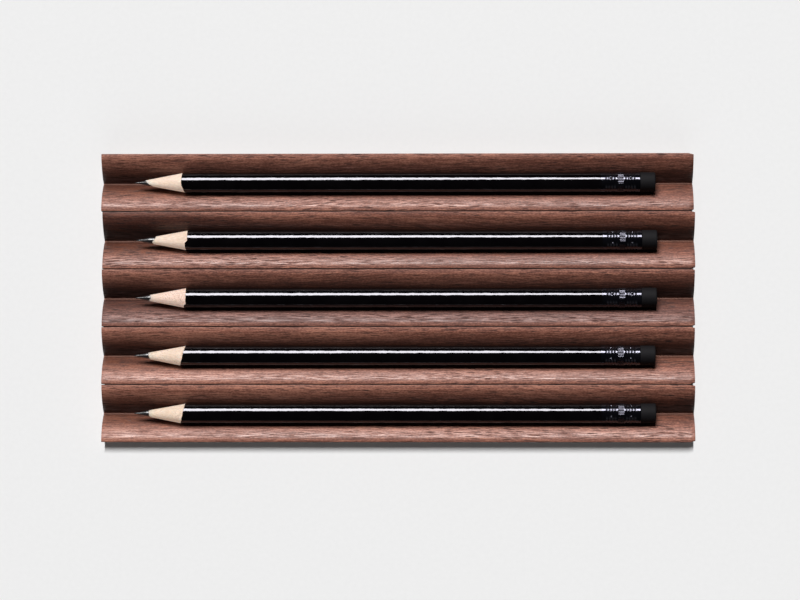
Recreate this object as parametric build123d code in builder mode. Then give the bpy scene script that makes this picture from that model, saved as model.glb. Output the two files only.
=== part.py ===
from build123d import *
from math import cos, radians, sin, sqrt
import os

# Pen tray: five grooved walnut strips joined side by side, with a round pencil lying in each groove.
# Frame, in millimetres: +X runs along the strips towards the erasers, +Y to the back, +Z up. The origin
# is the middle of the footprint, on the surface that the tray stands on. Strip and pencil 1 are at the back.

# Strips: one groove each, with convex sides between two narrow flat lands
STRIP_COUNT = 5
STRIP_LENGTH = 216.0
STRIP_WIDTH = 21.0
STRIP_HEIGHT = 12.0
GLUE_LINE = 0.05
LAND_WIDTH = 1.7
GROOVE_DEPTH = 8.4
CREST_ANGLE = 22.0
FRONT_EDGE_ROUND = 0.55
BACK_EDGE_ROUND = 0.35
END_BEVEL = 0.3
STRIP_SHIFTS = (-0.25, 0.2, 0.05, 0.0, 0.05)

# Dowels across each joint between two strips
DOWELS_PER_JOINT = 2
DOWEL_DIAMETER = 4.0
DOWEL_LENGTH = 12.0
DOWEL_SPACING = 130.0
DOWEL_ABOVE_UNDERSIDE = 4.0
DOWEL_BEVEL = 0.4
DOWEL_CLEARANCE = 0.05
DOWEL_END_ROOM = 0.5

# Felt pads let into the underside of the two outer strips, near their ends
PAD_DIAMETER = 10.0
PAD_THICKNESS = 1.3
PAD_RECESS = 0.5
PAD_INSET = 16.0
PAD_CLEARANCE = 0.1

# Pencils: round, sharpened, with an eraser in a metal ferrule
PENCIL_LENGTH = 190.0
PENCIL_DIAMETER = 7.2
PENCIL_CLEARANCE = 0.15
TIP_INSETS = (12.1, 12.25, 12.2, 11.7, 11.8)
LEAD_DIAMETER = 2.2
LEAD_CLEARANCE = 0.02
TIP_DIAMETER = 0.3
POINT_LENGTH = 18.3
SHARPENING_TILTS = (-0.27, 0.21, 0.26, 0.63, 0.63)
FERRULE_LENGTH = 14.4
FERRULE_WALL = 0.35
FERRULE_STEP = 0.05
FERRULE_CLEARANCE = 0.02
FERRULE_ROLLS = (10.0, -15.0, 12.0, -16.0, -16.0)
TENON_LENGTH = 7.5
ERASER_EXPOSED = 5.5
ERASER_DIAMETER = 7.2
ERASER_ROUND = 0.5
ERASER_END_ROOM = 0.2

# Rolled grooves, dimples and flutes of the ferrule, mirrored about its middle
RING_GROOVE_OFFSETS = (2.05, 3.05, 4.1, 5.15)
RING_GROOVE_RADIUS = 0.25
RING_GROOVE_DEPTH = 0.15
DIMPLE_OFFSET = 3.6
DIMPLE_COUNT = 6
DIMPLE_RADIUS = 1.75
DIMPLE_DEPTH = 0.25
FLUTE_COUNT = 32
FLUTE_LENGTH = 2.4
FLUTE_RADIUS = 0.3
FLUTE_DEPTH = 0.12

# Worked out: the strips' places and the groove's arc
underside = PAD_THICKNESS - PAD_RECESS
crest = underside + STRIP_HEIGHT
strip_pitch = STRIP_WIDTH + GLUE_LINE
half_width = STRIP_WIDTH / 2
groove_half_width = half_width - LAND_WIDTH
crest_sin = sin(radians(CREST_ANGLE))
crest_cos = cos(radians(CREST_ANGLE))
groove_radius = (groove_half_width**2 + GROOVE_DEPTH**2) / (
    2 * (GROOVE_DEPTH * crest_cos - groove_half_width * crest_sin)
)
strip_rows = [((STRIP_COUNT - 1) / 2 - row) * strip_pitch for row in range(STRIP_COUNT)]
joint_rows = [row - strip_pitch / 2 for row in strip_rows[:-1]]
dowel_height = underside + DOWEL_ABOVE_UNDERSIDE
dowel_hole_radius = DOWEL_DIAMETER / 2 + DOWEL_CLEARANCE
dowel_hole_depth = (DOWEL_LENGTH - GLUE_LINE) / 2 + DOWEL_END_ROOM
pad_spacing = STRIP_LENGTH - 2 * PAD_INSET

# Worked out: a pencil's axis where it rests on both sides of its groove, and its stations from the tip
pencil_radius = PENCIL_DIAMETER / 2
arc_to_axis = groove_radius + pencil_radius + PENCIL_CLEARANCE
axis_height = (
    crest
    - groove_radius * crest_cos
    + sqrt(arc_to_axis**2 - (groove_half_width + groove_radius * crest_sin) ** 2)
)
point_slope = (pencil_radius - TIP_DIAMETER / 2) / POINT_LENGTH
shoulder = PENCIL_LENGTH - ERASER_EXPOSED - FERRULE_LENGTH
tenon_end = shoulder + TENON_LENGTH
ferrule_end = shoulder + FERRULE_LENGTH
ferrule_middle = shoulder + FERRULE_LENGTH / 2
ferrule_radius = pencil_radius + FERRULE_STEP
ferrule_bore_radius = ferrule_radius - FERRULE_WALL
plug_radius = ferrule_bore_radius - FERRULE_CLEARANCE
plug_start = tenon_end + ERASER_END_ROOM


def save(piece, name):
    """Label a finished piece and write it as one STEP file."""
    piece.part.label = name
    export_step(piece.part, f"parts/{name}.step")


def pencil_plane(row, roll=0.0):
    """A plane at the tip of a pencil, whose normal runs along the pencil to its eraser."""
    tip = -STRIP_LENGTH / 2 + STRIP_SHIFTS[row] + TIP_INSETS[row]
    turn = radians(roll)
    return Plane(
        origin=(tip, strip_rows[row], axis_height),
        x_dir=(0, cos(turn), sin(turn)),
        z_dir=(1, 0, 0),
    )


def sharpening_cone(row):
    """The cone that the sharpener leaves, a little off the pencil's axis."""
    Cone(
        bottom_radius=TIP_DIAMETER / 2,
        top_radius=TIP_DIAMETER / 2 + point_slope * PENCIL_LENGTH,
        height=PENCIL_LENGTH,
        rotation=(0, -SHARPENING_TILTS[row], 0),
        align=(Align.CENTER, Align.CENTER, Align.MIN),
        mode=Mode.INTERSECT,
    )


def make_strip(row):
    """A walnut strip with its groove, its dowel holes and, on the outer strips, its pad recesses."""
    section_plane = Plane(
        origin=(STRIP_SHIFTS[row], strip_rows[row], underside), x_dir=(0, 1, 0), z_dir=(1, 0, 0)
    )
    with BuildPart() as strip:
        with BuildSketch(section_plane):
            with BuildLine():
                outline = Polyline(
                    (0, 0),
                    (half_width, 0),
                    (half_width, STRIP_HEIGHT),
                    (groove_half_width, STRIP_HEIGHT),
                )
                TangentArc(
                    outline @ 1, (0, STRIP_HEIGHT - GROOVE_DEPTH), tangent=(-crest_cos, -crest_sin)
                )
                mirror(about=Plane.YZ)
            make_face()
        extrude(amount=STRIP_LENGTH / 2, both=True)
        front_edges = strip.edges().filter_by(Axis.X).group_by(Axis.Y)[0]
        fillet(front_edges, radius=min(FRONT_EDGE_ROUND, 0.45 * LAND_WIDTH))
        back_edges = strip.edges().filter_by(Axis.X).group_by(Axis.Y)[-1]
        fillet(back_edges, radius=min(BACK_EDGE_ROUND, 0.45 * LAND_WIDTH))
        chamfer(strip.faces().filter_by(Axis.X).edges(), length=END_BEVEL)
        for side in (1, -1):
            neighbour = row - side
            if 0 <= neighbour < STRIP_COUNT:
                joint_face = Plane(
                    origin=(0, strip_rows[row] + side * half_width, dowel_height),
                    x_dir=(1, 0, 0),
                    z_dir=(0, side, 0),
                )
                with Locations(joint_face):
                    with GridLocations(DOWEL_SPACING, 0, DOWELS_PER_JOINT, 1):
                        Hole(radius=dowel_hole_radius, depth=dowel_hole_depth)
        if row in (0, STRIP_COUNT - 1):
            with Locations(Plane(origin=(0, strip_rows[row], underside), z_dir=(0, 0, -1))):
                with GridLocations(pad_spacing, 0, 2, 1):
                    Hole(radius=PAD_DIAMETER / 2 + PAD_CLEARANCE, depth=PAD_RECESS)
    return strip


def make_dowels():
    """All the dowels, which lie across the joints between the strips."""
    with BuildPart() as dowels:
        for row in joint_rows:
            joint_plane = Plane(origin=(0, row, dowel_height), x_dir=(1, 0, 0), z_dir=(0, 1, 0))
            with Locations(joint_plane):
                with GridLocations(DOWEL_SPACING, 0, DOWELS_PER_JOINT, 1):
                    Cylinder(radius=DOWEL_DIAMETER / 2, height=DOWEL_LENGTH)
        chamfer(dowels.edges().filter_by(GeomType.CIRCLE), length=DOWEL_BEVEL)
    return dowels


def make_pads():
    """The four pads, which carry the tray."""
    with BuildPart() as pads:
        for row in (strip_rows[0], strip_rows[-1]):
            with BuildSketch(Plane.XY):
                with Locations((0, row)):
                    with GridLocations(pad_spacing, 0, 2, 1):
                        Circle(PAD_DIAMETER / 2)
        extrude(amount=PAD_THICKNESS)
    return pads


def make_casing(row):
    """A pencil's wooden casing: bored for the lead, sharpened, with a tenon inside the ferrule."""
    with BuildPart(pencil_plane(row)) as casing:
        Cylinder(pencil_radius, shoulder, align=(Align.CENTER, Align.CENTER, Align.MIN))
        Cylinder(plug_radius, tenon_end, align=(Align.CENTER, Align.CENTER, Align.MIN))
        Cylinder(
            LEAD_DIAMETER / 2 + LEAD_CLEARANCE,
            tenon_end,
            align=(Align.CENTER, Align.CENTER, Align.MIN),
            mode=Mode.SUBTRACT,
        )
        sharpening_cone(row)
    return casing


def make_lead(row):
    """The graphite lead, from its point to the end of the tenon."""
    with BuildPart(pencil_plane(row)) as lead:
        Cylinder(LEAD_DIAMETER / 2, tenon_end, align=(Align.CENTER, Align.CENTER, Align.MIN))
        sharpening_cone(row)
    return lead


def make_ferrule(row):
    """The thin metal sleeve, with rolled grooves, two rings of dimples and a fluted band."""
    ferrule_plane = pencil_plane(row, FERRULE_ROLLS[row])
    with BuildPart(ferrule_plane) as ferrule:
        with BuildSketch(ferrule_plane.offset(shoulder)):
            Circle(ferrule_radius)
            Circle(ferrule_bore_radius, mode=Mode.SUBTRACT)
        extrude(amount=FERRULE_LENGTH)
        for offset in RING_GROOVE_OFFSETS:
            with Locations((0, 0, ferrule_middle - offset), (0, 0, ferrule_middle + offset)):
                Torus(
                    ferrule_radius + RING_GROOVE_RADIUS - RING_GROOVE_DEPTH,
                    RING_GROOVE_RADIUS,
                    mode=Mode.SUBTRACT,
                )
        for offset in (-DIMPLE_OFFSET, DIMPLE_OFFSET):
            with Locations((0, 0, ferrule_middle + offset)):
                with PolarLocations(ferrule_radius + DIMPLE_RADIUS - DIMPLE_DEPTH, DIMPLE_COUNT):
                    Sphere(DIMPLE_RADIUS, mode=Mode.SUBTRACT)
        with Locations((0, 0, ferrule_middle)):
            with PolarLocations(ferrule_radius + FLUTE_RADIUS - FLUTE_DEPTH, FLUTE_COUNT):
                Cylinder(FLUTE_RADIUS, FLUTE_LENGTH, mode=Mode.SUBTRACT)
    return ferrule


def make_eraser(row):
    """The eraser: a plug held in the ferrule and a slightly wider head outside it."""
    with BuildPart(pencil_plane(row)) as eraser:
        with Locations((0, 0, plug_start)):
            Cylinder(
                plug_radius, ferrule_end - plug_start, align=(Align.CENTER, Align.CENTER, Align.MIN)
            )
        with Locations((0, 0, ferrule_end)):
            Cylinder(
                ERASER_DIAMETER / 2, ERASER_EXPOSED, align=(Align.CENTER, Align.CENTER, Align.MIN)
            )
        fillet(eraser.edges().sort_by(Axis.X)[-1], radius=ERASER_ROUND)
    return eraser


os.makedirs("parts", exist_ok=True)
save(make_dowels(), "joining_dowels")
save(make_pads(), "felt_pads")
for row in range(STRIP_COUNT):
    number = row + 1
    save(make_strip(row), f"tray_strip_{number}")
    save(make_casing(row), f"pencil_{number}_casing")
    save(make_lead(row), f"pencil_{number}_lead")
    save(make_ferrule(row), f"pencil_{number}_ferrule")
    save(make_eraser(row), f"pencil_{number}_eraser")
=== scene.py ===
"""A walnut pen tray of five grooved strips, with a black pencil lying in each groove.

Shapes are drawn in millimetres and scaled to metres as each piece is finished. X runs along the strips,
Y from the front of the tray to its back, and Z up.
"""

from math import asin, atan2, cos, exp, hypot, pi, radians, sin, sqrt

import bmesh
import bpy
from mathutils import Euler, Matrix, Vector, noise


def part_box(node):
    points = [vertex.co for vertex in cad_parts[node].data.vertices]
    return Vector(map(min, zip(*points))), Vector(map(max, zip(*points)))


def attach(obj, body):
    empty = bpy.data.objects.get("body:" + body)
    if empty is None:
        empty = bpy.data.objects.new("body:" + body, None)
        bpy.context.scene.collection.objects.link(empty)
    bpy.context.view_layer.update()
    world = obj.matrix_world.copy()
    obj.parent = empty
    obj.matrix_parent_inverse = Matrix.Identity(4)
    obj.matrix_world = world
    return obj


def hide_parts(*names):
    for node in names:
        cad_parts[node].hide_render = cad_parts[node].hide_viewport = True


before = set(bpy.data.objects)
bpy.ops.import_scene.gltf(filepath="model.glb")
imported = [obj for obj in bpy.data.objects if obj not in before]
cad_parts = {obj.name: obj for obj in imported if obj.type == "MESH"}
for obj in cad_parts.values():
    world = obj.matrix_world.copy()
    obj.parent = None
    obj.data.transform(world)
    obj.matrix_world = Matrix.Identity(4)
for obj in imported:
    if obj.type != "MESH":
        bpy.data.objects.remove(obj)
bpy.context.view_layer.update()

MM = 0.001
ROWS = (1, 2, 3, 4, 5)

# How close two vertices count as one, and how close to a face or an edge they count as on it
MERGE_DISTANCE = 1e-5
NEAR = 1e-3

# Tray strips
LAND_WIDTH = 1.7
GROOVE_DEPTH = 8.4
CREST_ANGLE = radians(22)
GROOVE_FLAT = 0.5
GROOVE_STEPS = 26
FRONT_EDGE_ROUND = 0.35
BACK_EDGE_ROUND = 0.06
EDGE_ROUND_STEPS = 4
END_BEVEL = 0.2
END_BEVEL_STEPS = 2
END_TAPER_LENGTH = 1.9
LEFT_TAPERS = (0.04, 0.04, 0.1, 0.14, 0.1)
RIGHT_TAPERS = (0.48, 0.5, 0.46, 0.52, 0.5)

# Felt pads
PAD_DIAMETER = 10.0
PAD_ROUND = 0.25
PAD_ROUND_STEPS = 4
PAD_STEPS = 64

# Pencils, measured from the tip
BODY_DIAMETER = 7.2
BODY_STEPS = 96
LEAD_DIAMETER = 2.2
LEAD_CLEARANCE = 0.02
LEAD_STEPS = 48
LEAD_RINGS = 5
LEAD_HOLLOW = 1.25
TIP_DIAMETER = 0.3
TIP_ROUND = 0.08
TIP_FACE_DIAMETER = 0.18
TIP_FACE_DEPTH = 0.01
POINT_LENGTH = 18.3
POINT_RINGS = 12
FILM_THICKNESS = 0.06
FILM_EDGE = 0.08
FEATHER_EDGE = 0.04
FERRULE_START = 170.1
FERRULE_LENGTH = 14.4
FERRULE_DIAMETER = 7.3
FERRULE_WALL = 0.35
FERRULE_STEPS = 256
FERRULE_CUTS = 170
FERRULE_ROLLS = (10, -15, 12, -16, -16)
FERRULE_RIM_ROUND = 0.16
TENON_END = 177.6
TENON_DIAMETER = 6.56
PLUG_START = 177.8
ERASER_DIAMETER = 7.2
ERASER_ROUND = 0.55
ERASER_ROUND_STEPS = 6
ERASER_STEPS = 72

# Where the lead leaves the wood, and the wood the lacquer, at angles from a pencil's top to its front
LEAD_EDGES = (
    ((-90, 3.9), (0, 4.5), (90, 7.2)),
    ((-90, 7.3), (-20, 7.0), (35, 6.0), (90, 6.5)),
    ((-90, 4.9), (-12, 5.7), (90, 4.8)),
    ((-90, 5.2), (10, 5.6), (90, 6.1)),
    ((-90, 5.3), (0, 5.5), (90, 6.0)),
)
LACQUER_EDGES = (
    ((-90, 17.6), (0, 17.2), (90, 18.6)),
    ((-90, 18.9), (5, 18.85), (18, 18.05), (90, 18.25)),
    ((-90, 18.6), (40, 18.5), (48, 17.9), (90, 17.6)),
    ((-90, 19.2), (0, 18.0), (90, 16.9)),
    ((-90, 19.0), (0, 18.0), (90, 16.9)),
)

# How far those two edges wander, how often, and where in the noise each pencil's edge is taken from
LEAD_EDGE_WEAR = {"depth": 0.5, "waves": 5, "seed": 9}
LACQUER_EDGE_WEAR = {"depth": 0.2, "waves": 2.5, "seed": 20}
SEED_SPACING = 7.3

# Pressed pattern of the ferrule, measured from its middle
RING_GROOVE_OFFSETS = (2.05, 3.05, 4.1, 5.15)
RING_GROOVE_WIDTH = 0.2
RING_GROOVE_DEPTH = 0.13
DIMPLE_OFFSET = 3.6
DIMPLE_COUNT = 6
DIMPLE_RADIUS = 0.6
DIMPLE_DEPTH = 0.32
FLUTE_COUNT = 32
FLUTE_HALF_LENGTH = 1.2
FLUTE_FADE = 0.2
FLUTE_DEPTH = 0.1

# Edges that turn further than this are shaded sharp
SHARP_ANGLE = radians(36)


# Drawing and finishing of pieces

def box_mm(node):
    """Lowest and highest corner of a solid, in millimetres."""
    low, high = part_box(node)
    return low / MM, high / MM


def lathe(outline, steps, closed=False):
    """Turns an outline of (along, radius) points about the X axis."""
    bm = bmesh.new()
    points = [bm.verts.new((along, 0, radius)) for along, radius in outline]
    followers = points[1:] + points[:1] if closed else points[1:]
    lines = [bm.edges.new(pair) for pair in zip(points, followers)]
    bmesh.ops.spin(bm, geom=points + lines, cent=(0, 0, 0), axis=(1, 0, 0), dvec=(0, 0, 0),
                   angle=2 * pi, steps=steps, use_merge=True, use_normal_flip=False, use_duplicate=False)
    bmesh.ops.remove_doubles(bm, verts=bm.verts[:], dist=MERGE_DISTANCE)
    bmesh.ops.recalc_face_normals(bm, faces=bm.faces[:])
    return bm


def mark_sharp(bm):
    """Faces shade smoothly, apart from the edges where they turn by more than the sharp angle."""
    for face in bm.faces:
        face.smooth = True
    for edge in bm.edges:
        if edge.calc_face_angle(0) > SHARP_ANGLE:
            edge.smooth = False


def add_piece(name, bm, materials, body, slot, *nodes):
    """Scales a drawn shape to metres, gives it its materials and puts it on its body."""
    bmesh.ops.scale(bm, vec=(MM, MM, MM), verts=bm.verts[:])
    bmesh.ops.recalc_face_normals(bm, faces=bm.faces[:])
    mark_sharp(bm)
    mesh = bpy.data.meshes.new(name)
    bm.to_mesh(mesh)
    bm.free()
    for material in materials:
        mesh.materials.append(material)
    piece = bpy.data.objects.new(name, mesh)
    bpy.context.scene.collection.objects.link(piece)
    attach(piece, body)
    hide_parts(*nodes)
    return piece


# Nodes

def srgb(red, green, blue):
    """A colour written in 0 to 255 steps of sRGB, as the linear colour that nodes take."""
    def linear(step):
        share = step / 255
        return share / 12.92 if share <= 0.04045 else ((share + 0.055) / 1.055) ** 2.4
    return (linear(red), linear(green), linear(blue), 1)


def feed(tree, socket, value):
    """Gives a socket a link or a plain value."""
    if isinstance(value, bpy.types.NodeSocket):
        tree.links.new(value, socket)
    else:
        socket.default_value = value


def place(tree, kind, inputs=None, **settings):
    """Adds a node with its settings and its inputs."""
    node = tree.nodes.new("ShaderNode" + kind)
    for setting, value in settings.items():
        setattr(node, setting, value)
    for socket, value in (inputs or {}).items():
        feed(tree, node.inputs[socket], value)
    return node


def maths(tree, operation, *values):
    """Works out one sum over the surface."""
    return place(tree, "Math", dict(enumerate(values)), operation=operation).outputs[0]


def both(tree, first, second):
    """A mask where two masks meet."""
    return maths(tree, "MULTIPLY", first, second)


def stretch(tree, vector, scale):
    """Places scaled by a different amount along each axis."""
    return place(tree, "VectorMath", {0: vector, 1: scale}, operation="MULTIPLY").outputs[0]


def speckle(tree, vector, scale, detail=2.0, roughness=0.5):
    """Noise about 0.5, over the surface."""
    inputs = {"Vector": vector, "Scale": scale, "Detail": detail, "Roughness": roughness}
    return place(tree, "TexNoise", inputs).outputs["Fac"]


def remap(tree, value, low, high, to_low=0.0, to_high=1.0):
    """A smooth step from one level to another."""
    inputs = {"Value": value, "From Min": low, "From Max": high, "To Min": to_low, "To Max": to_high}
    return place(tree, "MapRange", inputs, interpolation_type="SMOOTHSTEP").outputs["Result"]


def mix_colours(tree, factor, first, second, mode="MIX"):
    """Goes from one colour to another, or blends them in another mode."""
    node = place(tree, "Mix", data_type="RGBA", blend_type=mode)
    for socket, value in ((0, factor), (6, first), (7, second)):
        feed(tree, node.inputs[socket], value)
    return node.outputs[2]


def ramp(tree, factor, *stops):
    """A colour ramp with stops of (place, colour)."""
    node = place(tree, "ValToRGB", {"Fac": factor})
    elements = node.color_ramp.elements
    while len(elements) < len(stops):
        elements.new(0.5)
    for element, (at, colour) in zip(elements, stops):
        element.position = at
        element.color = colour
    return node.outputs["Color"]


def bump(tree, height, distance, strength=1.0):
    """Normals of a relief whose full height is given in millimetres."""
    inputs = {"Height": height, "Distance": distance * MM, "Strength": strength}
    return place(tree, "Bump", inputs).outputs["Normal"]


def new_group(name, inputs, outputs):
    """A shared effect, with its sockets."""
    group = bpy.data.node_groups.new(name, "ShaderNodeTree")
    for title, kind in inputs:
        group.interface.new_socket(title, in_out="INPUT", socket_type="NodeSocket" + kind)
    for title in outputs:
        group.interface.new_socket(title, in_out="OUTPUT", socket_type="NodeSocketFloat")
    return group, group.nodes.new("NodeGroupInput").outputs, group.nodes.new("NodeGroupOutput").inputs


def use_group(tree, group, inputs):
    """Places a shared effect with its own values."""
    node = place(tree, "Group", node_tree=group)
    for socket, value in inputs.items():
        feed(tree, node.inputs[socket], value)
    return node.outputs


def new_material(name, **constants):
    """A material's tree and its shader, with the values that are the same all over the surface."""
    material = bpy.data.materials.new(name)
    material.use_nodes = True
    tree = material.node_tree
    tree.nodes.clear()
    shader = place(tree, "BsdfPrincipled")
    for socket, value in constants.items():
        shader.inputs[socket.replace("_", " ")].default_value = value
    place(tree, "OutputMaterial", {"Surface": shader.outputs["BSDF"]})
    return material, tree, shader


def millimetres(tree, shift=(0, 0, 0), turn=(0, 0, 0)):
    """Places on the object in millimetres, moved and turned for one piece's own pattern."""
    places = place(tree, "TexCoord").outputs["Object"]
    inputs = {"Vector": places, "Location": shift, "Rotation": turn, "Scale": (1 / MM, 1 / MM, 1 / MM)}
    return place(tree, "Mapping", inputs).outputs["Vector"]


# Effects that several materials share

def make_wood_grain():
    """Wood with its grain along X: rings about a far pith, fibres, streaks, pores and a slow figure."""
    group, given, result = new_group(
        "wood_grain",
        (("Place", "Vector"), ("Ring Width", "Float"), ("Fibre Width", "Float"),
         ("Fibre Length", "Float"), ("Pore Width", "Float"), ("Pore Length", "Float"), ("Sway", "Float")),
        ("Ring", "Fibre", "Fleck", "Streak", "Pore", "Figure"))

    slow = stretch(group, given["Place"], (0.012, 0.05, 0.05))
    drift = place(group, "TexNoise", {"Vector": slow, "Scale": 1.0, "Detail": 2.0}).outputs["Color"]
    centred = place(group, "VectorMath", {0: drift, 1: (0.5, 0.5, 0.5)}, operation="SUBTRACT").outputs[0]
    across = place(group, "CombineXYZ", {"X": 0.0, "Y": given["Sway"], "Z": given["Sway"]}).outputs[0]
    swayed = place(group, "VectorMath", {0: centred, 1: across, 2: given["Place"]},
                   operation="MULTIPLY_ADD").outputs[0]

    section = stretch(group, swayed, (0, 1, 1))
    from_pith = place(group, "VectorMath", {0: section}, operation="LENGTH").outputs["Value"]
    ring_count = maths(group, "DIVIDE", from_pith, given["Ring Width"])
    rings = place(group, "TexNoise", {"W": ring_count, "Scale": 1.0, "Detail": 2.5, "Roughness": 0.6},
                  noise_dimensions="1D").outputs["Fac"]
    feed(group, result["Ring"], remap(group, rings, 0.28, 0.72))

    def along_grain(length, width):
        narrow = maths(group, "DIVIDE", 1.0, width)
        scale = place(group, "CombineXYZ",
                      {"X": maths(group, "DIVIDE", 1.0, length), "Y": narrow, "Z": narrow}).outputs[0]
        return stretch(group, swayed, scale)

    fibres = along_grain(given["Fibre Length"], given["Fibre Width"])
    feed(group, result["Fibre"], remap(group, speckle(group, fibres, 1.0, 1.0), 0.32, 0.68))
    flecks = stretch(group, fibres, (8.4, 1.1, 1.1))
    feed(group, result["Fleck"], remap(group, speckle(group, flecks, 1.0, 1.0), 0.32, 0.68))
    streaks = stretch(group, fibres, (0.25, 0.3, 0.3))
    feed(group, result["Streak"], remap(group, speckle(group, streaks, 1.0, 2.0, 0.6), 0.28, 0.72))

    pores = along_grain(given["Pore Length"], given["Pore Width"])
    cells = place(group, "TexVoronoi", {"Vector": pores, "Scale": 1.0, "Randomness": 1.0})
    reach = remap(group, rings, 0.35, 0.65, 0.2, 0.38)
    from_pore = maths(group, "DIVIDE", cells.outputs["Distance"], reach)
    feed(group, result["Pore"], remap(group, from_pore, 0.6, 1.0, 1.0, 0.0))

    patches = stretch(group, swayed, (0.022, 0.11, 0.11))
    feed(group, result["Figure"], remap(group, speckle(group, patches, 1.0, 2.0), 0.3, 0.7))
    return group


def make_handling():
    """Faint smudges and fine dust on a smooth finish."""
    group, given, result = new_group("handling", (("Place", "Vector"),), ("Smudge", "Dust"))
    feed(group, result["Smudge"], remap(group, speckle(group, given["Place"], 0.16, 3.0), 0.35, 0.75))
    grains = place(group, "TexVoronoi", {"Vector": given["Place"], "Scale": 1.4}).outputs["Distance"]
    feed(group, result["Dust"], remap(group, grains, 0.03, 0.09, 1.0, 0.0))
    return group


wood_grain = make_wood_grain()
handling = make_handling()


# Colours
WALNUT_DARK = srgb(66, 35, 27)
WALNUT_MID = srgb(124, 76, 62)
WALNUT_LIGHT = srgb(182, 125, 105)
WALNUT_PORE = srgb(50, 24, 18)
VALLEY_LINE_PALE = srgb(196, 146, 128)
SEAM_DIRT = srgb(26, 14, 11)
BARE_WOOD_DARK = srgb(206, 183, 164)
BARE_WOOD_LIGHT = srgb(225, 205, 188)
BARE_WOOD_FLECK = srgb(150, 106, 84)
LACQUER_BLACK = srgb(3, 2, 3)
LACQUER_SMUDGE = srgb(7, 6, 7)
LACQUER_DUST = srgb(60, 60, 62)
LACQUER_SHINE = srgb(250, 247, 255)
METAL_BLACK = srgb(6, 6, 9)
METAL_SMUDGE = srgb(11, 11, 15)
METAL_SHINE = srgb(236, 234, 255)
RUBBER_DARK = srgb(9, 7, 10)
RUBBER_LIGHT = srgb(15, 13, 16)
RUBBER_DUST = srgb(70, 68, 70)
GRAPHITE_DARK = srgb(14, 13, 15)
GRAPHITE_LIGHT = srgb(30, 29, 32)
FELT_DARK = srgb(44, 40, 37)
FELT_LIGHT = srgb(78, 72, 67)
BEECH_DARK = srgb(196, 150, 112)
BEECH_LIGHT = srgb(222, 180, 142)
BEECH_FLECK = srgb(150, 104, 74)
PAPER_DARK = srgb(238, 238, 238)
PAPER_LIGHT = srgb(240, 240, 240)
CARD_DARK = srgb(10, 10, 10)
CARD_LIGHT = srgb(16, 16, 16)

# Stains that the walnut is darkened by, and painted shade: on the outer sides, at the bottom of the groove,
# on the back flank and near the valley under the points
END_GRAIN_STAIN = srgb(196, 186, 180)
SIDE_PAINTED_SHADE = srgb(150, 146, 143)
VALLEY_PAINTED_SHADE = srgb(200, 196, 192)
BACK_FLANK_PAINTED_SHADE = srgb(143, 126, 118)
HEART_STAIN = srgb(188, 184, 188)
FRONT_STAIN = srgb(213, 211, 218)
POINT_PAINTED_SHADE = srgb(203, 191, 181)

# How far a face of a strip is turned along an axis, from where a mark starts to where it is full
TURNED_TO_END = (0.6, 0.9)
TURNED_TO_SIDE = (0.9, 0.98)
TURNED_UP = (0.05, 0.25)
TURNED_TO_FRONT = (-0.2, -0.5)
TURNED_TO_BACK = (0.05, 0.3)

# Where the walnut's marks and its painted shade fade, in millimetres from the middle of a groove or along a
# strip
VALLEY_SHADE_FADE = (2.0, 4.8)
BACK_SHADE_FADE = (2.5, 9.0)
HEART_SIDE = (-1.0, -3.0)
HEART_FADE = (5.0, 38.0)
HEART_SLANT = 10.0
POINT_SHADE_FADE = (4.2, 6.8)
POINT_SHADE_ALONG = (-88.0, -62.0)
VALLEY_LINE_FADE = (0.2, 0.4)
VALLEY_LINE_STRENGTH = 0.75
SEAM_WIDTH = 0.3
SEAM_LIP = 0.24
SEAM_PACKING = (0.6, 1.0)
SEAM_FADE_OUTSIDE = (0.9, 0.6)

# How much each part of the grain counts in the walnut's colour, sheen and relief
WALNUT_SHARES = (("Ring", 0.14), ("Fibre", 0.36), ("Fleck", 0.32), ("Streak", 0.14), ("Figure", 0.16))
PORE_DARKNESS = 0.9
PORE_DULLNESS = 0.35
FIBRE_SHEEN = 0.3
PORE_SINK = -0.8
FIBRE_RISE = 0.5


# Materials

def darken(tree, mask, colour, darkening):
    """Multiplies a colour by a darker colour where a mask says; stains and painted shade both use it."""
    return mix_colours(tree, mask, colour, mix_colours(tree, 1.0, colour, darkening, "MULTIPLY"))


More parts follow.
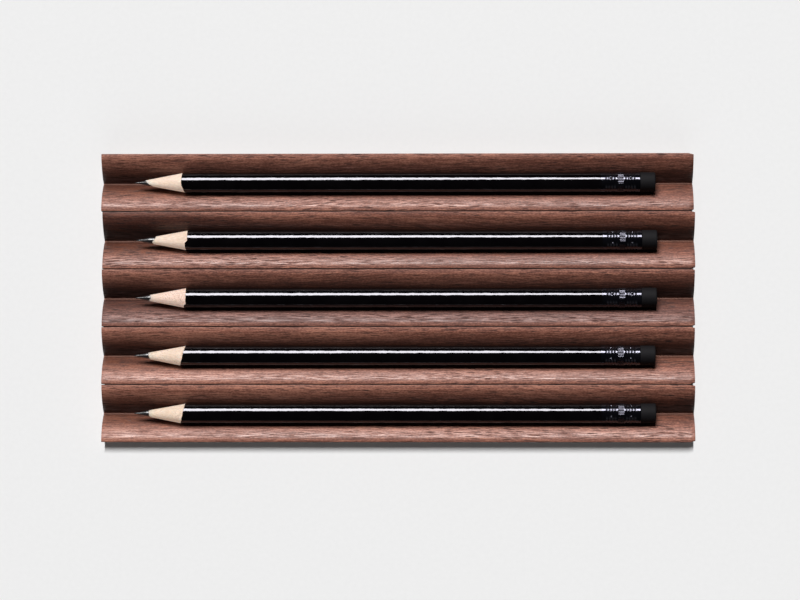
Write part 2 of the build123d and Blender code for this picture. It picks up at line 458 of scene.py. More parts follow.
def walnut_stains_and_shades(tree, here, to_front, cut):
    """The stains and painted shade of one strip with their masks, and the mask of its upper faces."""
    facing = place(tree, "SeparateXYZ", {0: place(tree, "NewGeometry").outputs["Normal"]}).outputs
    end_grain = remap(tree, maths(tree, "ABSOLUTE", facing["X"]), *TURNED_TO_END)
    # Painted shade: the outer sides are darkened, so that less of the key lamp's light bounces from them
    # onto the floor
    side_painted_shade = remap(tree, maths(tree, "ABSOLUTE", facing["Y"]), *TURNED_TO_SIDE)
    upward = remap(tree, facing["Z"], *TURNED_UP)
    back_flank = both(tree, upward, remap(tree, facing["Y"], *TURNED_TO_FRONT))
    front_flank = both(tree, upward, remap(tree, facing["Y"], *TURNED_TO_BACK))
    back_half = both(tree, upward, remap(tree, to_front, *HEART_SIDE))

    from_middle = maths(tree, "ABSOLUTE", to_front)
    # Painted shade, darkest at the bottom of the groove and fading up both flanks
    valley_painted_shade = both(tree, upward, remap(tree, from_middle, *VALLEY_SHADE_FADE, 1.0, 0.0))
    # Painted shade on the back flank, which is turned away from the key lamp, darker towards the valley
    back_flank_painted_shade = both(tree, back_flank, remap(tree, from_middle, *BACK_SHADE_FADE, cut["darkening"], 0.0))
    slanted = maths(tree, "MULTIPLY_ADD", from_middle, HEART_SLANT, here["X"])
    heart = both(tree, back_half, remap(tree, slanted, *HEART_FADE, cut["heart"], 0.0))
    shaded = both(tree, front_flank, cut["shade"])
    # Painted shade on the front flank near the valley, at the left end, before and under the pencil points
    under_point = remap(tree, here["X"], *POINT_SHADE_ALONG, cut["point_shade"], 0.0)
    by_point = both(tree, under_point, remap(tree, from_middle, *POINT_SHADE_FADE, 1.0, 0.0))
    point_painted_shade = both(tree, front_flank, by_point)
    stains_and_shades = ((END_GRAIN_STAIN, end_grain), (SIDE_PAINTED_SHADE, side_painted_shade), (VALLEY_PAINTED_SHADE, valley_painted_shade), (BACK_FLANK_PAINTED_SHADE, back_flank_painted_shade),
              (HEART_STAIN, heart), (FRONT_STAIN, shaded), (POINT_PAINTED_SHADE, point_painted_shade))
    return stains_and_shades, upward


def seam_dirt(tree, spot, here, to_front, half_width, tray_half_width):
    """Mask of the dirt in a strip's joints with its neighbours, unevenly packed along them."""
    at_front = remap(tree, to_front, half_width - SEAM_WIDTH, half_width - SEAM_WIDTH / 2)
    at_back = remap(tree, to_front, SEAM_LIP - half_width, SEAM_LIP / 2 - half_width)
    start, stop = (tray_half_width - fade for fade in SEAM_FADE_OUTSIDE)
    inside = remap(tree, maths(tree, "ABSOLUTE", here["Y"]), start, stop, 1.0, 0.0)
    along = speckle(tree, stretch(tree, spot, (0.08, 0, 0)), 1.0)
    packed = remap(tree, along, 0.35, 0.65, *SEAM_PACKING)
    return both(tree, maths(tree, "ADD", at_front, at_back), both(tree, inside, packed))


def make_walnut(name, low, high, tray_half_width, cut):
    """One strip's walnut: its own cut of the log, painted lighter to the left and with painted shade in its
    groove, on its back flank and on its sides, darker wood on its front flank, a paler line along the
    groove's bottom, and dirty seams.
    """
    material, tree, shader = new_material(name, IOR=1.5)
    spot = millimetres(tree, cut["shift"], (0, radians(cut["slope"][0]), radians(cut["slope"][1])))
    grain = use_group(tree, wood_grain, {
        "Place": spot, "Ring Width": 2.6, "Fibre Width": 0.3, "Fibre Length": 7.0,
        "Pore Width": 0.45, "Pore Length": 6.0, "Sway": 5.0})
    here = place(tree, "SeparateXYZ", {0: millimetres(tree)}).outputs
    # The strip is painted lighter towards the left, standing in for the key lamp's stronger light and sheen
    # at that end
    shade = maths(tree, "MULTIPLY_ADD", here["X"], -cut["fade"], cut["tone"])
    for part, share in WALNUT_SHARES:
        centred = maths(tree, "SUBTRACT", grain[part], 0.5)
        shade = maths(tree, "MULTIPLY_ADD", centred, share, shade)
    wood = ramp(tree, shade, (0.0, WALNUT_DARK), (0.5, WALNUT_MID), (1.0, WALNUT_LIGHT))
    colour = mix_colours(tree, maths(tree, "MULTIPLY", grain["Pore"], PORE_DARKNESS), wood, WALNUT_PORE)

    to_front = maths(tree, "SUBTRACT", (low.y + high.y) / 2, here["Y"])
    stains_and_shades, upward = walnut_stains_and_shades(tree, here, to_front, cut)
    for darkening, mask in stains_and_shades:
        colour = darken(tree, mask, colour, darkening)
    # A paler line along the groove's flat bottom
    by_valley = remap(tree, maths(tree, "ABSOLUTE", to_front), *VALLEY_LINE_FADE, VALLEY_LINE_STRENGTH, 0.0)
    colour = mix_colours(tree, both(tree, upward, by_valley), colour, VALLEY_LINE_PALE)
    seam = seam_dirt(tree, spot, here, to_front, (high.y - low.y) / 2, tray_half_width)
    feed(tree, shader.inputs["Base Color"], mix_colours(tree, seam, colour, SEAM_DIRT))

    dull = maths(tree, "MULTIPLY_ADD", grain["Fibre"], -FIBRE_SHEEN, cut["dullness"] + FIBRE_SHEEN / 2)
    pitted = maths(tree, "MULTIPLY_ADD", grain["Pore"], PORE_DULLNESS, dull)
    feed(tree, shader.inputs["Roughness"], maths(tree, "MAXIMUM", pitted, seam))
    raised = maths(tree, "MULTIPLY", grain["Fibre"], FIBRE_RISE)
    relief = maths(tree, "MULTIPLY_ADD", grain["Pore"], PORE_SINK, raised)
    feed(tree, shader.inputs["Normal"], bump(tree, relief, 0.05, 0.7))
    return material


def make_bare_wood(name, tint, flecks):
    """Pale, close-grained wood, freshly cut by a sharpener, that lets a little light through."""
    material, tree, shader = new_material(
        name, IOR=1.45, Subsurface_Weight=0.5, Subsurface_Scale=1.5 * MM,
        Subsurface_Radius=(1.0, 0.7, 0.5))
    spot = millimetres(tree, (310, 40, 95))
    grain = use_group(tree, wood_grain, {
        "Place": spot, "Ring Width": 1.6, "Fibre Width": 0.25, "Fibre Length": 3.0,
        "Pore Width": 0.32, "Pore Length": 0.55, "Sway": 1.0})
    shade = maths(tree, "MULTIPLY_ADD", grain["Ring"], 0.4, maths(tree, "MULTIPLY", grain["Fibre"], 0.6))
    wood = ramp(tree, shade, (0.1, BARE_WOOD_DARK), (0.9, BARE_WOOD_LIGHT))
    flecked = mix_colours(tree, maths(tree, "MULTIPLY", grain["Pore"], flecks), wood, BARE_WOOD_FLECK)
    feed(tree, shader.inputs["Base Color"], mix_colours(tree, 1.0, flecked, tint, "MULTIPLY"))
    feed(tree, shader.inputs["Roughness"], maths(tree, "MULTIPLY_ADD", grain["Fibre"], 0.15, 0.6))
    feed(tree, shader.inputs["Normal"], bump(tree, grain["Fibre"], 0.03, 0.6))
    return material


def make_lacquer():
    """Black gloss lacquer, laid on thinly enough to show a slight unevenness."""
    material, tree, shader = new_material("black_lacquer", IOR=1.48, Specular_Tint=LACQUER_SHINE)
    spot = millimetres(tree)
    marks = use_group(tree, handling, {"Place": spot})
    smudged = maths(tree, "MULTIPLY", marks["Smudge"], 0.6)
    black = mix_colours(tree, smudged, LACQUER_BLACK, LACQUER_SMUDGE)
    dusted = mix_colours(tree, maths(tree, "MULTIPLY", marks["Dust"], 0.2), black, LACQUER_DUST)
    feed(tree, shader.inputs["Base Color"], dusted)
    feed(tree, shader.inputs["Roughness"], maths(tree, "MULTIPLY_ADD", marks["Smudge"], 0.04, 0.05))
    uneven = speckle(tree, stretch(tree, spot, (0.35, 0.9, 0.9)), 1.0, 2.0)
    feed(tree, shader.inputs["Normal"], bump(tree, uneven, 0.035))
    return material


def make_black_metal():
    """Painted sheet metal, a little bluer in its shine than the lacquer."""
    material, tree, shader = new_material("black_ferrule_metal", IOR=1.62, Specular_Tint=METAL_SHINE)
    spot = millimetres(tree)
    marks = use_group(tree, handling, {"Place": spot})
    feed(tree, shader.inputs["Base Color"], mix_colours(tree, marks["Smudge"], METAL_BLACK, METAL_SMUDGE))
    feed(tree, shader.inputs["Roughness"], maths(tree, "MULTIPLY_ADD", marks["Smudge"], 0.05, 0.1))
    scuffs = speckle(tree, stretch(tree, spot, (3.0, 3.0, 3.0)), 1.0, 3.0)
    feed(tree, shader.inputs["Normal"], bump(tree, scuffs, 0.005))
    return material


def make_rubber():
    """Black eraser rubber, matt and faintly dusty."""
    material, tree, shader = new_material("black_eraser_rubber", IOR=1.3)
    spot = millimetres(tree)
    marks = use_group(tree, handling, {"Place": stretch(tree, spot, (2.2, 2.2, 2.2))})
    mottled = speckle(tree, spot, 2.5, 4.0, 0.7)
    rubber = ramp(tree, mottled, (0.3, RUBBER_DARK), (0.7, RUBBER_LIGHT))
    dusted = mix_colours(tree, maths(tree, "MULTIPLY", marks["Dust"], 0.2), rubber, RUBBER_DUST)
    feed(tree, shader.inputs["Base Color"], dusted)
    feed(tree, shader.inputs["Roughness"], maths(tree, "MULTIPLY_ADD", mottled, 0.15, 0.68))
    feed(tree, shader.inputs["Normal"], bump(tree, mottled, 0.05, 0.7))
    return material


def make_graphite():
    """Sharpened graphite, with the sheen and the fine turning marks of a cut point."""
    material, tree, shader = new_material("graphite_lead", IOR=2.0)
    spot = millimetres(tree)
    turned = speckle(tree, stretch(tree, spot, (9.0, 0.6, 0.6)), 1.0, 3.0)
    grey = ramp(tree, turned, (0.3, GRAPHITE_DARK), (0.7, GRAPHITE_LIGHT))
    feed(tree, shader.inputs["Base Color"], grey)
    feed(tree, shader.inputs["Roughness"], maths(tree, "MULTIPLY_ADD", turned, 0.1, 0.26))
    feed(tree, shader.inputs["Normal"], bump(tree, turned, 0.003))
    return material


def make_felt():
    """Pressed dark felt."""
    material, tree, shader = new_material("dark_felt", IOR=1.4, Sheen_Weight=0.3, Sheen_Roughness=0.5)
    spot = millimetres(tree)
    hairs = speckle(tree, stretch(tree, spot, (3.5, 3.5, 3.5)), 1.0, 5.0, 0.75)
    feed(tree, shader.inputs["Base Color"], ramp(tree, hairs, (0.3, FELT_DARK), (0.7, FELT_LIGHT)))
    feed(tree, shader.inputs["Roughness"], remap(tree, hairs, 0.2, 0.8, 0.85, 1.0))
    feed(tree, shader.inputs["Normal"], bump(tree, hairs, 0.18))
    return material


def make_beech():
    """Beech dowel stock, with short rays."""
    material, tree, shader = new_material("beech_dowel_wood", IOR=1.45)
    spot = millimetres(tree, (120, 15, 60), (0, 0, radians(90)))
    grain = use_group(tree, wood_grain, {
        "Place": spot, "Ring Width": 1.8, "Fibre Width": 0.3, "Fibre Length": 8.0,
        "Pore Width": 0.4, "Pore Length": 1.5, "Sway": 1.0})
    shade = maths(tree, "MULTIPLY_ADD", grain["Ring"], 0.5, maths(tree, "MULTIPLY", grain["Fibre"], 0.5))
    wood = ramp(tree, shade, (0.1, BEECH_DARK), (0.9, BEECH_LIGHT))
    flecked = mix_colours(tree, maths(tree, "MULTIPLY", grain["Pore"], 0.4), wood, BEECH_FLECK)
    feed(tree, shader.inputs["Base Color"], flecked)
    feed(tree, shader.inputs["Roughness"], maths(tree, "MULTIPLY_ADD", grain["Fibre"], 0.15, 0.55))
    return material


def make_floor_paper():
    """Pale paper of the studio floor."""
    material, tree, shader = new_material("pale_floor", IOR=1.3)
    tooth = speckle(tree, millimetres(tree), 0.6, 4.0)
    feed(tree, shader.inputs["Base Color"], ramp(tree, tooth, (0.3, PAPER_DARK), (0.7, PAPER_LIGHT)))
    feed(tree, shader.inputs["Roughness"], remap(tree, tooth, 0.2, 0.8, 0.9, 1.0))
    return material


def make_card():
    """Black card, as matt as card is."""
    material, tree, shader = new_material("black_card", IOR=1.3)
    tooth = speckle(tree, millimetres(tree), 0.8, 3.0)
    feed(tree, shader.inputs["Base Color"], ramp(tree, tooth, (0.3, CARD_DARK), (0.7, CARD_LIGHT)))
    feed(tree, shader.inputs["Roughness"], remap(tree, tooth, 0.2, 0.8, 0.9, 1.0))
    return material


# Each strip's place in its log, the slopes of its grain, its tone, how much lighter it is painted towards
# the left for the key lamp's stronger light there, how strong the painted shade on its back flank is, how
# dark its front flank and its heart at the back left are, how strong the painted shade near the valley under
# the point is, and its dullness
WALNUT_CUTS = (
    {"shift": (300, -22, 58), "slope": (0.6, -1.2), "tone": 0.56, "fade": 0.0004,
     "darkening": 0.65, "shade": 0.0, "heart": 0.0, "point_shade": 1.0, "dullness": 0.5},
    {"shift": (-140, 34, 66), "slope": (-0.8, 0.9), "tone": 0.54, "fade": 0.0,
     "darkening": 1.0, "shade": 0.0, "heart": 1.0, "point_shade": 1.0, "dullness": 0.48},
    {"shift": (520, -12, 71), "slope": (0.5, 0.6), "tone": 0.53, "fade": 0.0004,
     "darkening": 0.95, "shade": 1.0, "heart": 0.0, "point_shade": 0.7, "dullness": 0.56},
    {"shift": (760, 58, 49), "slope": (1.1, -0.7), "tone": 0.64, "fade": 0.0009,
     "darkening": 1.0, "shade": 0.0, "heart": 0.0, "point_shade": 0.8, "dullness": 0.48},
    {"shift": (-410, 96, 63), "slope": (-0.4, 1.5), "tone": 0.64, "fade": 0.0009,
     "darkening": 0.95, "shade": 0.0, "heart": 0.0, "point_shade": 0.8, "dullness": 0.48},
)

# Tint of each pencil's bare point, and how dark its flecks are
POINT_WOODS = (
    {"tint": srgb(255, 255, 255), "flecks": 0.1},
    {"tint": srgb(250, 249, 249), "flecks": 0.15},
    {"tint": srgb(255, 249, 253), "flecks": 0.8},
    {"tint": srgb(250, 249, 248), "flecks": 0.6},
    {"tint": srgb(249, 249, 246), "flecks": 0.6},
)


# Pieces of the tray

def draw_to(bm, vertex, y, z):
    """Draws a line on from a vertex of a strip's section."""
    drawn = bmesh.ops.extrude_vert_indiv(bm, verts=[vertex])["verts"][0]
    drawn.co = (vertex.co.x, y, z)
    return drawn


def draw_section(bm, start, half_width, bottom, crest):
    """One half of a strip's section: groove bottom and side, land, outer side and underside."""
    half_groove = half_width - LAND_WIDTH
    radius = (half_groove ** 2 + GROOVE_DEPTH ** 2) / (
        2 * (GROOVE_DEPTH * cos(CREST_ANGLE) - half_groove * sin(CREST_ANGLE)))
    centre_y = half_groove + radius * sin(CREST_ANGLE)
    centre_drop = radius * cos(CREST_ANGLE)
    sweep = asin((centre_y - GROOVE_FLAT / 2) / radius) - CREST_ANGLE
    arris = bm.verts.new((start, half_groove, crest))
    swept = bmesh.ops.spin(bm, geom=[arris], cent=(start, centre_y, crest - centre_drop), axis=(1, 0, 0),
                           dvec=(0, 0, 0), angle=sweep, steps=GROOVE_STEPS, use_merge=False,
                           use_normal_flip=False, use_duplicate=False)
    valley = swept["geom_last"][0]
    draw_to(bm, valley, 0, valley.co.z)
    corner = draw_to(bm, arris, half_width, crest)
    foot = draw_to(bm, corner, half_width, bottom)
    draw_to(bm, foot, 0, bottom)


def bevel_edges(bm, edges, width, segments):
    """Rounds edges off, or cuts them with few segments."""
    bmesh.ops.bevel(bm, geom=edges, offset=width, offset_type="OFFSET", affect="EDGES",
                    segments=segments, profile=0.5, material=-1, clamp_overlap=True)


def add_strip(row, walnut):
    """A strip with its groove, eased edges and slightly drawn-in ends."""
    node = f"tray_strip_{row}"
    low, high = box_mm(node)
    half_width = (high.y - low.y) / 2
    length = high.x - low.x
    bm = bmesh.new()
    draw_section(bm, low.x, half_width, low.z, high.z)
    bmesh.ops.mirror(bm, geom=bm.verts[:] + bm.edges[:], matrix=Matrix.Identity(4),
                     merge_dist=MERGE_DISTANCE, axis="Y")
    section = bmesh.ops.contextual_create(bm, geom=bm.edges[:])["faces"]
    outline = section + bm.edges[:] + bm.verts[:]
    drawn = bmesh.ops.extrude_face_region(bm, geom=outline, use_keep_orig=True)["geom"]
    far_end = [v for v in drawn if isinstance(v, bmesh.types.BMVert)]
    bmesh.ops.translate(bm, vec=(length, 0, 0), verts=far_end)
    bmesh.ops.recalc_face_normals(bm, faces=bm.faces[:])

    for side, width in ((-1, FRONT_EDGE_ROUND), (1, BACK_EDGE_ROUND)):
        corners = [e for e in bm.edges if all(side * v.co.y > half_width - NEAR for v in e.verts)
                   and abs(e.verts[0].co.x - e.verts[1].co.x) > length / 2]
        bevel_edges(bm, corners, width, EDGE_ROUND_STEPS)
    ends = [f for f in bm.faces if abs(f.normal.x) > 1 - NEAR]
    bevel_edges(bm, list({e for f in ends for e in f.edges}), END_BEVEL, END_BEVEL_STEPS)

    for plane in (low.x + END_TAPER_LENGTH, high.x - END_TAPER_LENGTH):
        bmesh.ops.bisect_plane(bm, geom=bm.verts[:] + bm.edges[:] + bm.faces[:], dist=MERGE_DISTANCE,
                               plane_co=(plane, 0, 0), plane_no=(1, 0, 0))
    for vertex in bm.verts:
        at_left = vertex.co.x - low.x < length / 2
        taper = LEFT_TAPERS[row - 1] if at_left else RIGHT_TAPERS[row - 1]
        from_end = vertex.co.x - low.x if at_left else high.x - vertex.co.x
        drawn_in = taper * max(0, 1 - from_end / END_TAPER_LENGTH)
        vertex.co.y *= 1 - drawn_in / half_width
    bmesh.ops.translate(bm, vec=(0, (low.y + high.y) / 2, 0), verts=bm.verts[:])
    add_piece(f"walnut_strip_{row}", bm, [walnut], "tray", "walnut", node)


def add_pads(felt):
    """Four felt pads under the tray's corners."""
    low, high = box_mm("felt_pads")
    top = box_mm("tray_strip_1")[0].z
    bm = bmesh.new()
    for x in (low.x + PAD_DIAMETER / 2, high.x - PAD_DIAMETER / 2):
        for y in (low.y + PAD_DIAMETER / 2, high.y - PAD_DIAMETER / 2):
            middle = Matrix.Translation((x, y, (low.z + top) / 2))
            bmesh.ops.create_cone(bm, cap_ends=True, cap_tris=False, segments=PAD_STEPS,
                                  radius1=PAD_DIAMETER / 2, radius2=PAD_DIAMETER / 2,
                                  depth=top - low.z, matrix=middle)
    rims = [e for e in bm.edges if all(v.co.z < low.z + NEAR for v in e.verts)]
    bevel_edges(bm, rims, PAD_ROUND, PAD_ROUND_STEPS)
    add_piece("felt_pad_set", bm, [felt], "tray", "felt", "felt_pads")


# Pieces of the pencils

def around(vertex):
    """Angle of a vertex about the pencil's axis, from the top towards the front."""
    return atan2(-vertex.co.y, vertex.co.z)


def set_radius(vertex, angle, radius):
    """Moves a vertex to a distance from the pencil's axis."""
    vertex.co.y = -radius * sin(angle)
    vertex.co.z = radius * cos(angle)


def wander(angle, row, depth, waves, seed):
    """How far a worn edge strays from its line, at an angle round a pencil."""
    return depth * noise.noise(Vector((waves * cos(angle), waves * sin(angle), SEED_SPACING * (row + seed))))


def edge_at(points, angle):
    """Place of a worn edge at an angle, between the (angle, place) points given for it."""
    first = points[0]
    rounds = [(radians(at), where) for at, where in (*points, (first[0] + 360, first[1]))]
    turned = (angle - rounds[0][0]) % (2 * pi) + rounds[0][0]
    for (start, here), (stop, there) in zip(rounds, rounds[1:]):
        if turned <= stop:
            return here + (there - here) * (turned - start) / (stop - start)
    return first[1]


def pencil_place(row):
    """Where a pencil's axis meets its tip."""
    low, high = box_mm(f"pencil_{row}_casing")
    tip, _ = box_mm(f"pencil_{row}_lead")
    return Vector((tip.x, (low.y + high.y) / 2, (low.z + high.z) / 2))


def add_to_pencil(row, name, bm, materials, slot, roll=0):
    """Turns a drawn piece about its pencil's axis, moves it to the pencil's place and finishes it."""
    turn = Matrix.Rotation(radians(roll), 3, "X")
    bmesh.ops.rotate(bm, cent=(0, 0, 0), matrix=turn, verts=bm.verts[:])
    bmesh.ops.translate(bm, vec=pencil_place(row), verts=bm.verts[:])
    node = f"pencil_{row}_{name}"
    return add_piece(f"{node}_finish", bm, materials, f"pencil_{row}", slot, node)


def add_casing(row, bare_wood, lacquer):
    """The wooden casing: a ragged front round the lead, the bare point and the lacquered body."""
    radius = BODY_DIAMETER / 2
    bore = LEAD_DIAMETER / 2 + LEAD_CLEARANCE
    tip = TIP_DIAMETER / 2
    front = (LEAD_DIAMETER / 2 - tip) * POINT_LENGTH / (radius - tip)
    shares = [ring / POINT_RINGS for ring in range(POINT_RINGS + 1)]
    point = [(front + share * (POINT_LENGTH - front), radius - FILM_THICKNESS) for share in shares]
    outline = [(front, bore), *point, (POINT_LENGTH + FILM_EDGE, radius), (FERRULE_START, radius),
               (FERRULE_START, TENON_DIAMETER / 2), (TENON_END, TENON_DIAMETER / 2), (TENON_END, bore)]
    bm = lathe(outline, BODY_STEPS, closed=True)
    for face in bm.faces:
        face.material_index = 0 if face.calc_center_median().x < POINT_LENGTH else 1

    for vertex in bm.verts:
        along = vertex.co.x
        if along > POINT_LENGTH + 2 * FILM_EDGE:
            continue
        angle = around(vertex)
        share = max(0, (along - front) / (POINT_LENGTH - front))
        chipped = edge_at(LEAD_EDGES[row - 1], angle) + wander(angle, row, **LEAD_EDGE_WEAR)
        painted = edge_at(LACQUER_EDGES[row - 1], angle) + wander(angle, row, **LACQUER_EDGE_WEAR)
        cut = (radius - tip - FILM_THICKNESS) / painted
        if along > POINT_LENGTH + FILM_EDGE / 2:
            vertex.co.x = painted + FILM_EDGE
        else:
            on_cone = hypot(vertex.co.y, vertex.co.z) > bore + NEAR
            vertex.co.x = chipped + share * (painted - chipped)
            cone = tip + cut * vertex.co.x
            limit = min(cone, radius - FILM_THICKNESS) if on_cone else min(cone - FEATHER_EDGE, bore)
            set_radius(vertex, angle, limit)
    return add_to_pencil(row, "casing", bm, [bare_wood, lacquer], "lacquered_wood")


def add_lead(row, graphite):
    """The graphite lead, sharpened with the casing."""
    tip = TIP_DIAMETER / 2
    radius = LEAD_DIAMETER / 2
    shoulder = (radius - tip) * POINT_LENGTH / (BODY_DIAMETER / 2 - tip)
    shares = [ring / LEAD_RINGS for ring in range(1, LEAD_RINGS + 1)]
    point = [(share * shoulder, tip + (radius - tip) * share ** LEAD_HOLLOW) for share in shares]
    outline = [(0, 0), (TIP_FACE_DEPTH, TIP_FACE_DIAMETER / 2), (TIP_ROUND, tip), *point,
               (TENON_END, radius), (TENON_END, 0)]
    add_to_pencil(row, "lead", lathe(outline, LEAD_STEPS), [graphite], "graphite")


def pressed_depth(along, angle):
    """How deep the pressed pattern is at a place on the ferrule, measured from its middle."""
    from_middle = abs(along)
    depth = max(RING_GROOVE_DEPTH * exp(-((from_middle - offset) / RING_GROOVE_WIDTH) ** 2)
                for offset in RING_GROOVE_OFFSETS)
    pitch = 2 * pi / DIMPLE_COUNT
    beside = (angle % pitch - pitch / 2) * FERRULE_DIAMETER / 2
    from_dimple = min(1, hypot(from_middle - DIMPLE_OFFSET, beside) / DIMPLE_RADIUS)
    depth = max(depth, DIMPLE_DEPTH * (0.5 + 0.5 * cos(pi * from_dimple)))
    fade = min(1, max(0, (FLUTE_HALF_LENGTH - from_middle) / FLUTE_FADE))
    across_flute = 2 * (FLUTE_COUNT * angle / (2 * pi) % 1) - 1
    depth += FLUTE_DEPTH * fade * across_flute ** 2
    from_rim = min(FERRULE_RIM_ROUND, max(0, FERRULE_LENGTH / 2 - from_middle))
    depth += FERRULE_RIM_ROUND - sqrt(FERRULE_RIM_ROUND ** 2 - (FERRULE_RIM_ROUND - from_rim) ** 2)
    return depth


def add_ferrule(row, black_metal):
    """The ferrule: a thin tube with pressed grooves, dimples and flutes."""
    outer = FERRULE_DIAMETER / 2
    bore = outer - FERRULE_WALL
    end = FERRULE_START + FERRULE_LENGTH
    outline = [(FERRULE_START, bore), (FERRULE_START, outer), (end, outer), (end, bore)]
    bm = lathe(outline, FERRULE_STEPS, closed=True)
    skin = [e for e in bm.edges if abs(e.verts[0].co.x - e.verts[1].co.x) > FERRULE_LENGTH / 2
            and hypot(e.verts[0].co.y, e.verts[0].co.z) > outer - NEAR]
    bmesh.ops.subdivide_edges(bm, edges=skin, cuts=FERRULE_CUTS, use_grid_fill=True)
    middle = FERRULE_START + FERRULE_LENGTH / 2
    for vertex in bm.verts:
        if hypot(vertex.co.y, vertex.co.z) > outer - NEAR:
            angle = around(vertex)
            set_radius(vertex, angle, outer - pressed_depth(vertex.co.x - middle, angle))
    add_to_pencil(row, "ferrule", bm, [black_metal], "black_metal", FERRULE_ROLLS[row - 1])


def add_eraser(row, rubber):
    """The eraser: a plug inside the ferrule and a rounded stub outside it."""
    _, high = box_mm(f"pencil_{row}_eraser")
    end = high.x - pencil_place(row).x
    rim = FERRULE_START + FERRULE_LENGTH
    radius = ERASER_DIAMETER / 2
    plug = TENON_DIAMETER / 2
    outline = [(PLUG_START, 0), (PLUG_START, plug), (rim, plug), (rim, radius), (end, radius), (end, 0)]
    bm = lathe(outline, ERASER_STEPS)
    far_rim = [e for e in bm.edges if all(v.co.x > end - NEAR and hypot(v.co.y, v.co.z) > radius - NEAR
                                          for v in e.verts)]
    bevel_edges(bm, far_rim, ERASER_ROUND, ERASER_ROUND_STEPS)
    add_to_pencil(row, "eraser", bm, [rubber], "black_rubber")


lacquer = make_lacquer()
graphite = make_graphite()
black_metal = make_black_metal()
rubber = make_rubber()
felt = make_felt()
tray_half_width = box_mm("tray_strip_1")[1].y

casings = []
for row, cut, point_wood in zip(ROWS, WALNUT_CUTS, POINT_WOODS):
    low, high = box_mm(f"tray_strip_{row}")
    add_strip(row, make_walnut(f"walnut_{row}", low, high, tray_half_width, cut))
    bare_wood = make_bare_wood(f"bare_point_wood_{row}", **point_wood)
    casings.append(add_casing(row, bare_wood, lacquer))
    add_lead(row, graphite)
    add_ferrule(row, black_metal)
    add_eraser(row, rubber)
add_pads(felt)
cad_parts["joining_dowels"].data.materials.clear()
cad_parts["joining_dowels"].data.materials.append(make_beech())


# Studio

FLOOR_HALF_SIZE = 4.0
KEY_FROM_VERTICAL = radians(42)
KEY_TO_LEFT = radians(8)
KEY_SPREAD = radians(27)
KEY_STRENGTH = 4.4
SUN_DISTANCE = 1.0
FLOOR_LAMP_FROM_VERTICAL = radians(13.2)
FLOOR_LAMP_DISTANCE = 12.0
FLOOR_LAMP_SIZE = (0.3, 2.3)
FLOOR_LAMP_POWER = 1360
FILL_FROM_VERTICAL = radians(55)
FILL_SPREAD = radians(50)
FLOOR_FILL = 0.32
POINT_FILL = 1.8
CARD_DISTANCE = 0.2
CARD_HEIGHT = 0.03
WALL_LIGHT = 0.018
CEILING_LIGHT = 0.012
CEILING_EDGE = (0.2, 0.5)
END_WALL_SHINE = 0.25
END_WALL_EDGE = (0.25, 0.6)
END_WALL_TOP = (0.3, 0.6)
CAMERA_PLACE = (0.02893, -0.04581, 1.2)
CAMERA_TURN = (radians(2.168), radians(1.352), radians(0.011))
CAMERA_LENS = 146.94
CAMERA_SENSOR = 36
CAMERA_REACH = 20


def add_to_studio(name, bm, material):
    """Makes a drawn shape a piece of the studio."""
    mesh = bpy.data.meshes.new(name)
    bm.to_mesh(mesh)
    bm.free()
    mesh.materials.append(material)
    piece = bpy.data.objects.new(name, mesh)
    bpy.context.scene.collection.objects.link(piece)
    return piece


def add_floor():
    """The pale floor that the tray stands on."""
    bm = bmesh.new()
    bmesh.ops.create_grid(bm, x_segments=1, y_segments=1, size=FLOOR_HALF_SIZE)
    return add_to_studio("studio_floor", bm, make_floor_paper())


def add_black_cards():
    """Low black cards before and behind the tray, out of the picture, that keep the pencils dark."""
    bm = bmesh.new()
    upright = Matrix.Rotation(radians(90), 4, "X") @ Matrix.Diagonal((1, CARD_HEIGHT / 2, 1, 1))
    for side in (-1, 1):
        beside = Matrix.Translation((0, side * CARD_DISTANCE, CARD_HEIGHT / 2))
        bmesh.ops.create_grid(bm, x_segments=1, y_segments=1, size=1, matrix=beside @ upright)
    cards = add_to_studio("black_cards", bm, make_card())
    cards.visible_camera = False
    cards.visible_diffuse = False
    cards.visible_shadow = False


def aim_lamp(data, from_vertical, to_left, distance):
    """Puts a lamp behind the tray, or before it at a negative angle, and turns it to the tray's middle."""
    lamp = bpy.data.objects.new(data.name, data)
    backwards = sin(from_vertical) * cos(to_left)
    upwards = cos(from_vertical) * cos(to_left)
    towards = Vector((-sin(to_left), backwards, upwards))
    lamp.location = towards * distance
    lamp.rotation_euler = towards.to_track_quat("Z", "Y").to_euler()
    bpy.context.scene.collection.objects.link(lamp)
    return lamp


def add_softbox():
    """The soft key lamp."""
    data = bpy.data.lights.new("softbox", "SUN")
    data.energy = KEY_STRENGTH
    data.angle = KEY_SPREAD
    return aim_lamp(data, KEY_FROM_VERTICAL, KEY_TO_LEFT, SUN_DISTANCE)


def add_fill(name, strength):
    """A wide, faint lamp low in front, kept out of the reflections."""
    data = bpy.data.lights.new(name, "SUN")
    data.energy = strength
    data.angle = FILL_SPREAD
    lamp = aim_lamp(data, -FILL_FROM_VERTICAL, 0, SUN_DISTANCE)
    lamp.visible_glossy = False
    return lamp


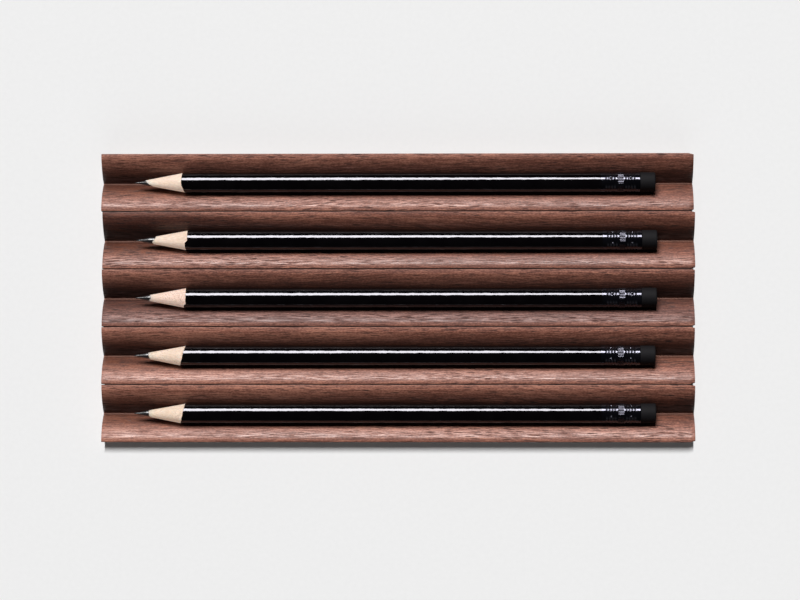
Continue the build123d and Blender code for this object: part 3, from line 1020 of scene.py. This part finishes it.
def add_floor_lamp():
    """A long, narrow lamp that lights the floor from above and keeps the tray's shadow short."""
    data = bpy.data.lights.new("floor_lamp", "AREA")
    data.shape = "RECTANGLE"
    data.size, data.size_y = FLOOR_LAMP_SIZE
    data.energy = FLOOR_LAMP_POWER
    return aim_lamp(data, FLOOR_LAMP_FROM_VERTICAL, 0, FLOOR_LAMP_DISTANCE)


def light_only(lamp, state, *pieces):
    """Says whether a lamp lights only some pieces, or all but them."""
    group = bpy.data.collections.new(f"{lamp.name}_{state.lower()}")
    for piece in pieces:
        group.objects.link(piece)
    lamp.light_linking.receiver_collection = group
    for linked in group.collection_objects:
        linked.light_linking.link_state = state


def add_world():
    """Dim walls under a darker ceiling, and pale end walls that only shiny surfaces show."""
    world = bpy.data.worlds.new("studio")
    world.use_nodes = True
    tree = world.node_tree
    tree.nodes.clear()
    direction = place(tree, "TexCoord").outputs["Generated"]
    towards = place(tree, "SeparateXYZ", {0: direction}).outputs
    room = remap(tree, towards["Z"], *CEILING_EDGE, WALL_LIGHT, CEILING_LIGHT)
    to_ends = remap(tree, maths(tree, "ABSOLUTE", towards["X"]), *END_WALL_EDGE, 0.0, END_WALL_SHINE)
    end_walls = both(tree, to_ends, remap(tree, towards["Z"], *END_WALL_TOP, 1.0, 0.0))
    mirrored = place(tree, "LightPath").outputs["Is Glossy Ray"]
    level = maths(tree, "ADD", room, both(tree, end_walls, mirrored))
    background = place(tree, "Background", {"Color": (1, 1, 1, 1), "Strength": level})
    place(tree, "OutputWorld", {"Surface": background.outputs[0]})
    bpy.context.scene.world = world


def add_camera():
    """A long lens, almost straight above the tray."""
    data = bpy.data.cameras.new("camera")
    data.lens = CAMERA_LENS
    data.sensor_width = CAMERA_SENSOR
    data.clip_end = CAMERA_REACH
    camera = bpy.data.objects.new("camera", data)
    camera.location = CAMERA_PLACE
    camera.rotation_euler = Euler(CAMERA_TURN)
    bpy.context.scene.collection.objects.link(camera)
    bpy.context.scene.camera = camera


floor = add_floor()
light_only(add_softbox(), "EXCLUDE", floor)
light_only(add_floor_lamp(), "INCLUDE", floor)
light_only(add_fill("floor_fill", FLOOR_FILL), "INCLUDE", floor)
light_only(add_fill("point_fill", POINT_FILL), "INCLUDE", *casings)
add_black_cards()
add_world()
add_camera()
bpy.context.scene.view_settings.view_transform = "Standard"
